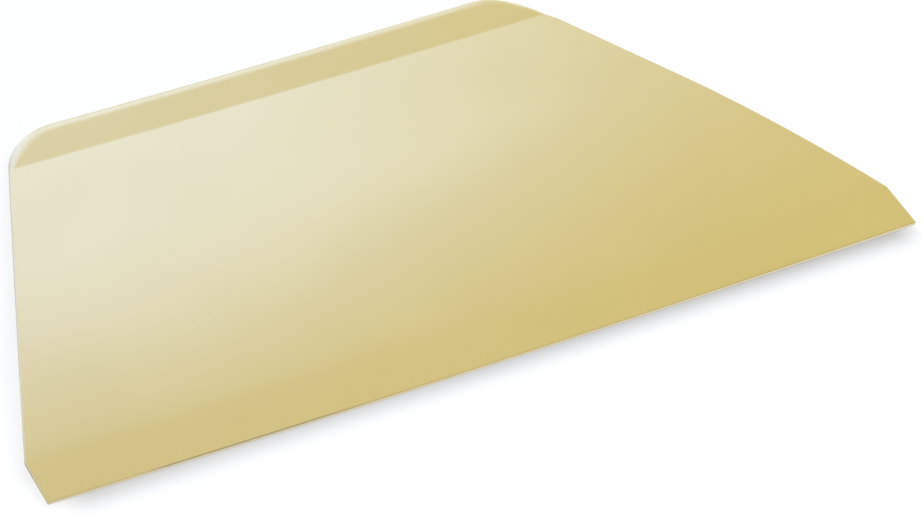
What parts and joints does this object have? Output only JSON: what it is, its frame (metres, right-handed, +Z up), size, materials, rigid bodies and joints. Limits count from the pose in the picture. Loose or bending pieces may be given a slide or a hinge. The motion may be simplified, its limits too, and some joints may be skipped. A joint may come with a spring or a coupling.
{
  "type": "angled hand scraper",
  "caption": "One-piece ivory plastic hand scraper: a thin arched plate with a wide blade edge, slanted sides and a rounded grip along the narrow back, for portioning dough and clearing worktops.",
  "frame": {"origin": "under the middle of the scraper's box, on the surface that it lies on", "axes": "+X along the blade edge, +Y from the blade edge to the grip, +Z up out of the top face"},
  "size_m": [0.216, 0.128, 0.0067],
  "materials": {
    "ivory_plastic": "satin ivory moulded plastic with a soft broad gloss"
  },
  "bodies": {
    "root": {"scraper_body": "ivory_plastic"}
  },
  "joints": []
}
